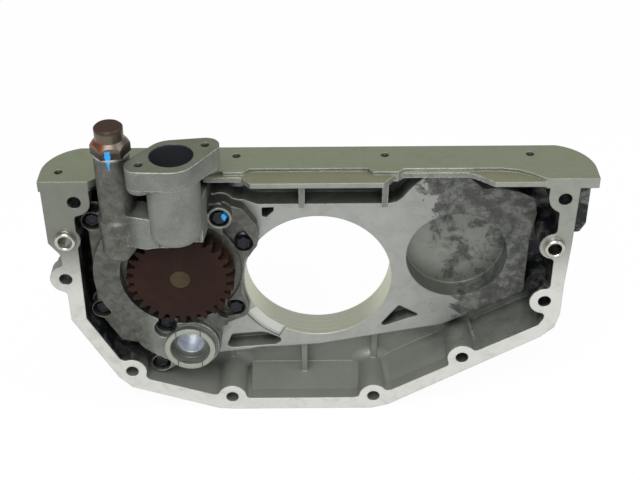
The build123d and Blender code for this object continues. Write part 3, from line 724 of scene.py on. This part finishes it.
@dataclass(frozen=True)
class PumpBodyFinish:
    """The pump's own casting, with its faced flange and its faced outlet ring."""

    places: CoverPlaces
    cast: CastMetal = CastMetal(
        paint(128, 131, 123), paint(108, 111, 105), paint(30, 32, 36), paint(210, 212, 205), fillet=2.0
    )
    faced = paint(126, 131, 112)
    faced_wear = Wash(paint(110, 112, 92), (0.4, 0.75), 0.5)
    faced_specks = Wash(paint(88, 88, 72), (0.6, 0.85), 0.4)
    ring = (paint(176, 180, 168), paint(140, 144, 132))
    bore = (paint(92, 94, 98), paint(70, 72, 78))
    # painted reflection: the outlet bore's wall and floor are painted near-white blue, as the shine of its
    # floor
    outlet = (paint(226, 230, 236), paint(190, 196, 206))
    step_margin = 0.2
    oiled = paint(66, 65, 58)
    column_x = (-138.0, -150.0)
    ear_x = (-96.0, -84.0)
    ear_y = (-36.0, -30.0)
    blotches = Pattern(8.0, 4.0, 0.65, 0.6, (0.3, 0.7))
    oiled_share = Line(0.5, 0.4)
    oiled_gloss = 0.14
    wear = Pattern(10.0, 4.0, 0.65, 0.5)
    fine = FINE_SPECKS
    fine_height = 0.06
    milled_rough = Line(0.34, 0.16)
    milled_metal = 0.75

    def build(self) -> Material:
        """Makes the material."""
        at = Surface("pump_casting")
        here = self.places
        colour, rough, height, soft, oil = self.cast.lay(at)
        top = at.on_plane(Facing.UP, here.tower_top_z)
        ring = at.on_plane(Facing.FRONT, here.mating_y)
        from_suction = at.away_from(at.x, at.y, here.suction_axis)
        bore = abs(from_suction - here.suction_radius).less(WALL_MARGIN)
        outlet = at.away_from(at.x, at.z, here.outlet_axis).less(here.outlet_bore_radius + WALL_MARGIN)
        outlet = outlet * at.y.greater(here.outlet_step_y - self.step_margin)
        oiled = at.x.ramp(*self.column_x).most(at.x.ramp(*self.ear_x) * at.y.ramp(*self.ear_y))
        colour = at.mix(oiled * at.patches(self.blotches).along(self.oiled_share), colour, self.oiled)
        rough = rough - oiled * self.oiled_gloss
        fine = at.noise(self.fine)
        wear = at.noise(self.wear)
        faced = at.wash(at.wash(self.faced, wear, self.faced_wear), fine, self.faced_specks)
        colour = at.mix(top, colour, faced)
        colour = at.mix(ring, colour, at.mix(fine, *self.ring))
        colour = at.mix(bore, colour, at.mix(fine, *self.bore))
        # Painted reflection: the outlet bore is painted near-white.
        colour = at.mix(outlet, colour, at.mix(fine, *self.outlet))
        stripe = MarkerStripe().mask(at, here)
        colour = at.mix(stripe, colour, MARKER_PAINT)
        smooth = top.most(ring).most(bore).most(outlet)
        rough = at.blend(smooth, rough, wear.along(self.milled_rough))
        metal = at.blend(smooth, self.cast.metal, self.milled_metal)
        metal = at.blend(stripe, metal, 0.0)
        height = at.blend(smooth, height, fine * self.fine_height)
        return at.dress(colour, rough, metal, height, self.cast.relief_depth, soft, (1 - smooth) * oil)


@dataclass(frozen=True)
class SteelFinish:
    """Steel and bronze parts: a body colour, a second colour in patches, and bright specks and edges."""

    name: str
    body: Colour
    patch: Colour
    speck: Colour
    rough: float = 0.35
    metal: float = 0.9
    patch_size: float = 12.0
    patch_layers = (4.0, 0.65, 0.5)
    patch_span = (0.42, 0.66)
    patch_share = 0.5
    patch_rough = 0.16
    patch_height = 0.3
    specks = Pattern(0.6, 2.0, 0.7)
    speck_span = (0.62, 0.78)
    speck_share = 0.6
    speck_rough = 0.08
    speck_height = 0.5
    fillet: float = 0.5
    edge_span = (0.03, 0.2)
    edge_reach = 5.0
    open_span = (0.6, 0.2)
    edge_share = 0.45
    relief_depth = 0.03
    gloss: float = 0.5

    def build(self) -> Material:
        """Makes the material."""
        at = Surface(self.name)
        soft = at.soft_edges(self.fillet)
        clouds = at.noise(Pattern(self.patch_size, *self.patch_layers))
        colour = at.mix(clouds.ramp(*self.patch_span) * self.patch_share, self.body, self.patch)
        specks = at.noise(self.specks)
        colour = at.mix(specks.ramp(*self.speck_span) * self.speck_share, colour, self.speck)
        bright_edges = at.edge_mask(soft).ramp(*self.edge_span) * at.shelter(self.edge_reach).ramp(*self.open_span)
        colour = at.mix(bright_edges * self.edge_share, colour, self.speck)
        rough = self.rough + clouds * self.patch_rough + specks * self.speck_rough
        height = specks * self.speck_height + clouds * self.patch_height
        return at.dress(colour, rough, self.metal, height, self.relief_depth, soft, 0.0, self.gloss)


@dataclass(frozen=True)
class PlugFinish:
    """The relief plug: machined steel, browned on top, with a rust patch and the paint line."""

    places: CoverPlaces
    steel = paint(112, 101, 91)
    browns = (paint(62, 36, 14), paint(42, 22, 8))
    rust = paint(128, 74, 38)
    dark = paint(42, 38, 38)
    fillet = 0.8
    turned = Pattern(0.7, 3.0, 0.6)
    turned_marks = Wash(paint(74, 67, 60), (0.35, 0.7), 0.5)
    clouds = Pattern(7.0, 4.0, 0.65, 0.6)
    cap_z = (161.5, 164.5)
    cap_share = 0.9
    top_least_z = 160.0
    top_least_normal = 0.9
    rust_shift = 2.0
    rust_x = (-2.0, 5.0)
    rust_low_z = (147.0, 151.0)
    rust_high_z = (160.0, 154.0)
    rust_span = (0.3, 0.5)
    dark_z = (151.0, 147.5)
    dark_share = Line(0.4, 0.8)
    rough = Line(0.26, 0.25)
    stripe_rough = 0.2
    cap_rough = 0.3
    metal = 0.9
    browned_share = 0.75
    pitted = Pattern(0.8, 3.0, 0.7)
    layer_height = 0.4
    relief_depth = 0.06
    coat = 0.1

    def build(self) -> Material:
        """Makes the material."""
        at = Surface("plug_steel")
        soft = at.soft_edges(self.fillet)
        turned = at.noise(self.turned, at.join(0.0, 0.0, at.z))
        clouds = at.noise(self.clouds)
        colour = at.wash(self.steel, turned, self.turned_marks)
        top = at.normal_z.greater(self.top_least_normal) * at.z.greater(self.top_least_z)
        browned = (at.z.ramp(*self.cap_z) * self.cap_share).most(top)
        colour = at.mix(browned, colour, at.mix(clouds, *self.browns))
        left = (self.places.relief_axis[0] - self.rust_shift - at.x).ramp(*self.rust_x)
        patch = left * at.z.ramp(*self.rust_low_z) * at.z.ramp(*self.rust_high_z)
        colour = at.mix(patch * clouds.ramp(*self.rust_span), colour, self.rust)
        low = at.z.ramp(*self.dark_z) * clouds.along(self.dark_share)
        colour = at.mix(low, colour, self.dark)
        stripe = MarkerStripe().mask(at, self.places)
        colour = at.mix(stripe, colour, MARKER_PAINT)
        rough = clouds.along(self.rough) + stripe * self.stripe_rough + browned * self.cap_rough
        metal = at.blend(stripe.most(browned * self.browned_share), self.metal, 0.0)
        height = (turned + clouds + at.noise(self.pitted)) * self.layer_height
        return at.dress(colour, rough, metal, height, self.relief_depth, soft, self.coat)


@dataclass(frozen=True)
class BoltFinish:
    """Black bolts under a film of oil, one of them dabbed with paint."""

    name: str
    dabbed: bool = False
    black = paint(30, 32, 38)
    bare = paint(104, 108, 116)
    fillet = 0.5
    clouds = Pattern(3.0, 4.0, 0.65, 0.5)
    faded = Wash(paint(44, 40, 40), (0.5, 0.8), 0.4)
    edge_span = (0.04, 0.25)
    chip_span = (0.3, 0.6)
    edge_share = 0.5
    rough = Line(0.24, 0.22)
    metal = 0.85
    dab_centre = (-74.2, 75.4)
    dab_border = Pattern(2.2, 4.0, 0.65, 0.8, strength=5.0)
    dab_span = (6.4, 5.6)
    dab_rough = 0.4
    relief_depth = 0.04
    coat = 0.3

    def build(self) -> Material:
        """Makes the material."""
        at = Surface(self.name)
        soft = at.soft_edges(self.fillet)
        clouds = at.noise(self.clouds)
        colour = at.wash(self.black, clouds, self.faded)
        bright_edges = at.edge_mask(soft).ramp(*self.edge_span) * clouds.ramp(*self.chip_span)
        colour = at.mix(bright_edges * self.edge_share, colour, self.bare)
        rough = clouds.along(self.rough)
        metal = self.metal
        if self.dabbed:
            reach = at.away_from(at.x, at.z, self.dab_centre) + at.waves(self.dab_border)
            dab = reach.ramp(*self.dab_span)
            colour = at.mix(dab, colour, MARKER_PAINT)
            metal = at.blend(dab, metal, 0.0)
            rough = at.blend(dab, rough, self.dab_rough)
        return at.dress(colour, rough, metal, clouds, self.relief_depth, soft, self.coat)


GEAR_STEEL = SteelFinish(
    "phosphated_gear", paint(36, 20, 13), paint(50, 27, 17), paint(92, 70, 60),
    rough=0.7, metal=0.0, patch_size=18.0, gloss=0.22,
)
SHAFT_STEEL = SteelFinish(
    "oiled_shaft", paint(72, 62, 40), paint(56, 47, 29), paint(112, 100, 70), rough=0.46, metal=0.6,
)
ROTOR_STEEL = SteelFinish(
    "ground_rotor", paint(150, 150, 146), paint(122, 120, 112), paint(190, 190, 186), rough=0.3,
)
BRIGHT_STEEL = SteelFinish(
    "bright_steel", paint(198, 196, 188), paint(166, 160, 146), paint(226, 224, 216), rough=0.16,
    patch_size=5.0, metal=1.0,
)
SPRING_STEEL = SteelFinish(
    "spring_steel", paint(92, 94, 98), paint(70, 70, 76), paint(140, 142, 148), rough=0.3, fillet=0.2,
)
BRONZE = SteelFinish(
    "sintered_bronze", paint(168, 124, 70), paint(138, 98, 54), paint(202, 164, 106), rough=0.45,
)
CUT_METAL = SteelFinish(
    "cut_thread", paint(122, 122, 112), paint(84, 82, 72), paint(176, 176, 166), rough=0.34, patch_size=3.0,
    fillet=0.1,
)
WASHER = SteelFinish(
    "soft_washer", paint(188, 188, 182), paint(160, 160, 152), paint(214, 214, 208), rough=0.4,
)


# ------------------------------------------------------------------- the parts
@dataclass
class Assembly:
    """A sub-assembly of the CAD model: its places and the model's nodes by name."""

    places: CoverPlaces
    nodes: dict[str, Object]

    def finish(self, material: Material, *names: str) -> None:
        """Gives some nodes their finish."""
        for name in names:
            mesh = self.nodes[name].data
            mesh.materials.clear()
            mesh.materials.append(material)
            log.info("dressed %s with %s", name, material.name)


class Cover(Assembly):
    """The cover casting and what is pressed into it."""

    def dress(self) -> None:
        """Gives the cover, its sleeves and its dowels their finishes."""
        self.finish(CoverFinish(self.places).build(), "front_cover_housing")
        self.finish(
            BRIGHT_STEEL.build(),
            "dowel_sleeve_left", "dowel_sleeve_right", "pump_dowel_upper", "pump_dowel_lower",
        )


class Pump(Assembly):
    """The pump body, its gears and their bearings."""

    def dress(self) -> None:
        """Gives the pump's pieces their finishes."""
        self.finish(PumpBodyFinish(self.places).build(), "pump_body")
        self.finish(GEAR_STEEL.build(), "drive_gear")
        self.finish(SHAFT_STEEL.build(), "drive_shaft")
        self.finish(ROTOR_STEEL.build(), "drive_rotor", "driven_rotor", "idler_shaft")
        self.finish(BRONZE.build(), "driven_rotor_bush", "drive_shaft_bush_front", "drive_shaft_bush_rear")


class ReliefValve(Assembly):
    """The relief valve's piston, spring, plug and washer."""

    def dress(self) -> None:
        """Gives the valve's pieces their finishes."""
        self.finish(PlugFinish(self.places).build(), "relief_plug")
        self.finish(WASHER.build(), "relief_plug_washer")
        self.finish(ROTOR_STEEL.build(), "relief_piston")
        self.finish(SPRING_STEEL.build(), "relief_spring")


class Workpiece:
    """A mesh that is shaped with the edit mode's operators, along the Z axis."""

    edge_angle = math.radians(35.0)  # faces that meet at less are shaded as one

    def __init__(self, name: str, sides: int, radius: float, height: float) -> None:
        """Starts from a filled ring of vertices round the Z axis.

        Args:
            name: the new object's name.
            sides: how many vertices the ring has.
            radius: its radius, in millimetres.
            height: where it lies on the axis, in millimetres.
        """
        bpy.ops.object.select_all(action="DESELECT")
        self._add_ring(sides, radius, height)
        self.made = bpy.context.object
        self.made.name = name
        bpy.ops.object.transform_apply(location=True, rotation=True, scale=True)
        bpy.ops.object.mode_set(mode="EDIT")
        bpy.ops.mesh.select_all(action="SELECT")

    @staticmethod
    def _add_ring(sides: int, radius: float, height: float) -> None:
        """Adds a filled ring of vertices."""
        bpy.ops.mesh.primitive_circle_add(
            vertices=sides, radius=radius * MM, fill_type="NGON", location=(0.0, 0.0, height * MM)
        )

    def start_again(self, sides: int, radius: float, height: float) -> None:
        """Adds another ring to the same mesh, and goes on from it."""
        bpy.ops.mesh.select_all(action="DESELECT")
        self._add_ring(sides, radius, height)

    def rise(self, height: float) -> None:
        """Extrudes the selected face along the axis."""
        bpy.ops.mesh.extrude_region_move(TRANSFORM_OT_translate={"value": mm(0.0, 0.0, height)})

    def widen(self, share: float) -> None:
        """Scales the selected face about the axis."""
        bpy.ops.transform.resize(value=(share, share, 1.0))

    def step(self, share: float) -> None:
        """Extrudes the selected face in its own plane, to this share of its size."""
        bpy.ops.mesh.extrude_region_move(TRANSFORM_OT_translate={"value": (0.0, 0.0, 0.0)})
        self.widen(share)

    def taper(self, inwards: float, height: float) -> None:
        """Insets the selected face and lifts it, which leaves a sloping band."""
        bpy.ops.mesh.inset(thickness=inwards * MM, depth=height * MM)

    def finish(self) -> Object:
        """Turns the normals outwards, leaves edit mode and shades the round faces smooth."""
        bpy.ops.mesh.select_all(action="SELECT")
        bpy.ops.mesh.normals_make_consistent(inside=False)
        bpy.ops.object.mode_set(mode="OBJECT")
        bpy.ops.object.shade_smooth_by_angle(angle=self.edge_angle)
        return self.made


def set_copies(pattern: Object, name: str, places: list[Matrix], material: Material) -> Object:
    """Copies a piece to several places as one object that rides on the cover.

    Args:
        pattern: the piece, at the origin.
        name: the new object's name.
        places: where each copy goes.
        material: its finish.

    Returns:
        The new object, at the origin.
    """
    bpy.ops.object.select_all(action="DESELECT")
    for place in places:
        mesh = pattern.data.copy()
        mesh.transform(place)
        made = bpy.data.objects.new(name, mesh)
        bpy.context.scene.collection.objects.link(made)
        made.select_set(True)
        bpy.context.view_layer.objects.active = made
    if len(places) > 1:
        bpy.ops.object.join()
    made.name = name
    made.data.materials.clear()
    made.data.materials.append(material)
    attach(made, CARRIER)
    log.info("made %s, %d of them", name, len(places))
    return made


@dataclass
class Bolts:
    """The flanged hexagon bolts that hold the pump body on the cover."""

    flange: Pairs = ((-183.5, 68.0), (-184.0, -22.0), (-138.2, -83.0))
    ear: Pairs = ((-61.5, 43.0), (-70.4, -23.5))
    inner: Pairs = ((-130.5, -39.0),)
    painted: Pairs = ((-79.5, 74.0),)
    across_flats: float = 11.0
    head_height: float = 6.0
    flange_radius: float = 7.6
    flange_height: float = 1.8
    flange_rim: float = 0.9
    shank_radius: float = 4.0
    chamfer: float = 0.7
    dish_rim: float = 1.1
    dish_depth: float = 0.5
    round_sides: int = 48
    hexagon: int = 6

    def model(self, grip: float) -> Object:
        """Models a bolt: its seat at the origin, its head along +Z and its grip, in millimetres, below."""
        corner = self.across_flats / 2 / math.cos(math.pi / self.hexagon)
        bolt = Workpiece("bolt_pattern", self.round_sides, self.shank_radius - self.chamfer, -grip)
        bolt.rise(self.chamfer)
        bolt.widen(self.shank_radius / (self.shank_radius - self.chamfer))
        bolt.rise(grip - self.chamfer)
        bolt.step(self.flange_radius / self.shank_radius)
        bolt.rise(self.flange_rim)
        bolt.taper(self.flange_radius - corner, self.flange_height - self.flange_rim)
        bolt.start_again(self.hexagon, corner, self.flange_height - self.flange_rim)
        bolt.rise(self.head_height - self.flange_height + self.flange_rim - self.chamfer)
        bolt.taper(self.chamfer, self.chamfer)
        bolt.taper(self.dish_rim, 0.0)
        bolt.taper(self.dish_depth, -self.dish_depth)
        return bolt.finish()

    def stand_in(self, node: str, centres: Pairs, material: Material) -> None:
        """Replaces a node's bolts with modelled ones, in the same places.

        Args:
            node: the CAD node.
            centres: the x and z of each bolt, in millimetres.
            material: their finish.
        """
        low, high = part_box(node)
        seat = low[1] + self.head_height * MM
        pattern = self.model((high[1] - seat) / MM)
        places = [
            Matrix.Translation((x * MM, seat, z * MM)) @ Matrix.Rotation(math.pi / 2, 4, "X")
            @ Matrix.Rotation(math.radians(x), 4, "Z")
            for x, z in centres
        ]
        made = set_copies(pattern, node + "_modelled", places, material)
        bpy.data.objects.remove(pattern)
        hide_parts(node)

    def build(self) -> None:
        """Models and dresses every bolt."""
        black = BoltFinish("black_bolt").build()
        self.stand_in("pump_bolts_flange", self.flange, black)
        self.stand_in("pump_bolts_ear", self.ear, black)
        self.stand_in("pump_bolt_inner", self.inner, black)
        self.stand_in("pump_bolt_painted", self.painted, BoltFinish("painted_bolt", True).build())


@dataclass
class ScrewThreads:
    """The thread crests in the blind screw holes, each at an x and a depth from the mating face."""

    sump: Pairs = ((-205.5, 15.0), (-65.5, 38.0), (54.5, 38.0), (172.0, 38.0))
    ear: Pairs = ((-134.8, -26.9), (-86.6, 2.2))
    hole_radius: float = 3.4
    crest: float = 0.42
    pitch: float = 1.25
    lead: float = 0.8
    sunk: float = 0.03
    steps: int = 24
    sump_turns: int = 14
    ear_turns: int = 11

    def model(self, turns: int) -> Object:
        """Models one helical crest round the Z axis, that starts at the origin and rises."""
        bpy.ops.object.select_all(action="DESELECT")
        radius = self.crest / 1.5  # a triangle is one and a half radii high
        bpy.ops.mesh.primitive_circle_add(
            vertices=3, radius=radius * MM, rotation=(math.pi / 2, -math.pi / 2, 0.0),
            location=((self.hole_radius - self.sunk - radius / 2) * MM, 0.0, radius * MM),
        )
        made = bpy.context.object
        bpy.ops.object.transform_apply(location=True, rotation=True, scale=True)
        turned = made.modifiers.new("thread", "SCREW")
        turned.screw_offset = self.pitch * MM
        turned.iterations = turns
        turned.steps = turned.render_steps = self.steps
        bpy.ops.object.modifier_apply(modifier=turned.name)
        bpy.ops.object.mode_set(mode="EDIT")
        bpy.ops.mesh.select_all(action="SELECT")
        bpy.ops.mesh.fill_holes(sides=3)
        bpy.ops.mesh.normals_make_consistent(inside=False)
        bpy.ops.object.mode_set(mode="OBJECT")
        return made

    def cut(self, name: str, turns: int, mouths: list[Vector], material: Material) -> None:
        """Puts a crest in each hole of a kind.

        Args:
            name: the new object's name.
            turns: how many turns each has.
            mouths: the middle of each hole's mouth.
            material: the finish.
        """
        pattern = self.model(turns)
        drop = mm(0.0, 0.0, turns * self.pitch + self.lead)
        set_copies(pattern, name, [Matrix.Translation(mouth - drop) for mouth in mouths], material)
        bpy.data.objects.remove(pattern)

    def build(self, places: CoverPlaces) -> None:
        """Models and dresses the crests in the sump face and in the tower's ears."""
        finish = CUT_METAL.build()
        sump = [mm(x, places.mating_y + depth, places.sump_z) for x, depth in self.sump]
        self.cut("sump_screw_threads", self.sump_turns, sump, finish)
        ears = [mm(x, places.mating_y + depth, places.tower_top_z) for x, depth in self.ear]
        self.cut("ear_screw_threads", self.ear_turns, ears, finish)


# ------------------------------------------------------------------- the studio
@dataclass(frozen=True)
class Lamp:
    """A square soft lamp that looks at the object: its place and side in metres, its power in watts."""

    name: str
    place: Point
    side: float
    power: float

    def hang(self) -> None:
        """Adds the lamp to the scene."""
        light = bpy.data.lights.new(self.name, "AREA")
        light.size = self.side
        light.energy = self.power
        lamp = bpy.data.objects.new(self.name, light)
        bpy.context.scene.collection.objects.link(lamp)
        lamp.location = self.place
        lamp.rotation_mode = "QUATERNION"
        lamp.rotation_quaternion = (-Vector(self.place)).to_track_quat("-Z", "Y")


@dataclass
class Studio:
    """Floor, light and camera."""

    floor_z: float
    floor_side: float = 14.0
    floor_glow: float = 0.95
    cloth: Colour = (0.93, 0.93, 0.93, 1.0)
    room: Colour = (0.93, 0.96, 1.0, 1.0)
    room_strength: float = 0.5
    lamps: tuple[Lamp, ...] = (
        Lamp("key_lamp", (-0.3, -1.4, 1.7), 1.3, 38.0), Lamp("side_lamp", (1.4, -0.3, 1.4), 1.0, 9.0)
    )
    camera_place: Vector = field(default_factory=lambda: mm(-3.067, -858.92, 628.195))
    pitch: float = 34.903
    yaw: float = 0.331
    roll: float = -0.217
    focal_pixels: float = 1234.32
    picture_width: float = 640.0
    sensor: float = 36.0
    nearest: float = 0.02
    furthest: float = 50.0

    def floor(self) -> None:
        """Makes the pale floor: white to the camera, but for the object's shadow."""
        bpy.ops.object.select_all(action="DESELECT")
        bpy.ops.mesh.primitive_plane_add(size=self.floor_side, location=(0.0, 0.0, self.floor_z))
        floor = bpy.context.object
        floor.name = "studio_floor"
        at = Surface("studio_floor")
        path = at.node("ShaderNodeLightPath").outputs
        seen = Value(at, path["Is Camera Ray"]).most(Value(at, path["Is Glossy Ray"]))
        cloth = at.node("ShaderNodeBsdfDiffuse", sockets={"Color": self.cloth})
        glow = at.node("ShaderNodeEmission", sockets={"Color": WHITE, "Strength": 1.0})
        both = at.node("ShaderNodeMixShader", sockets={
            0: seen * self.floor_glow, 1: cloth.outputs[0], 2: glow.outputs[0],
        })
        at.node("ShaderNodeOutputMaterial", sockets={0: both.outputs[0]})
        floor.data.materials.append(at.material)
        floor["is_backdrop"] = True

    def world(self) -> None:
        """Lights everything evenly, and shows white behind the object."""
        world = bpy.data.worlds.new("studio_world")
        bpy.context.scene.world = world
        sky = Graph(world)
        path = sky.node("ShaderNodeLightPath").outputs
        room = sky.node("ShaderNodeBackground", sockets={
            "Color": self.room, "Strength": self.room_strength,
        })
        white = sky.node("ShaderNodeBackground", sockets={"Color": WHITE})
        both = sky.node("ShaderNodeMixShader", sockets={
            0: path["Is Camera Ray"], 1: room.outputs[0], 2: white.outputs[0],
        })
        sky.node("ShaderNodeOutputWorld", sockets={0: both.outputs[0]})

    def camera(self) -> None:
        """Sets up the camera."""
        pitch, yaw, roll = (math.radians(a) for a in (self.pitch, self.yaw, self.roll))
        ahead = Vector((math.sin(yaw) * math.cos(pitch), math.cos(yaw) * math.cos(pitch), -math.sin(pitch)))
        right = Vector((math.cos(yaw), -math.sin(yaw), 0.0))
        up = right.cross(ahead)
        turned_right = right * math.cos(roll) + up * math.sin(roll)
        turned_up = up * math.cos(roll) - right * math.sin(roll)
        lens = bpy.data.cameras.new("camera")
        lens.sensor_width = self.sensor
        lens.lens = self.focal_pixels * self.sensor / self.picture_width
        lens.clip_start = self.nearest
        lens.clip_end = self.furthest
        camera = bpy.data.objects.new("camera", lens)
        bpy.context.scene.collection.objects.link(camera)
        turn = Matrix((turned_right, turned_up, -ahead)).transposed()
        camera.matrix_world = Matrix.Translation(self.camera_place) @ turn.to_4x4()
        bpy.context.scene.camera = camera

    def build(self) -> None:
        """Makes the whole studio."""
        self.floor()
        self.world()
        for lamp in self.lamps:
            lamp.hang()
        self.camera()
        bpy.context.scene.view_settings.view_transform = "Standard"


def main() -> None:
    """Builds the looks in order."""
    logging.basicConfig(level=logging.INFO, format="%(message)s")
    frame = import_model()
    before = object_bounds()
    places = CoverPlaces()
    nodes = frame["nodes"]
    Cover(places, nodes).dress()
    Pump(places, nodes).dress()
    ReliefValve(places, nodes).dress()
    Bolts().build()
    ScrewThreads().build(places)
    Studio(before[0].z).build()


if __name__ == "__main__":
    main()
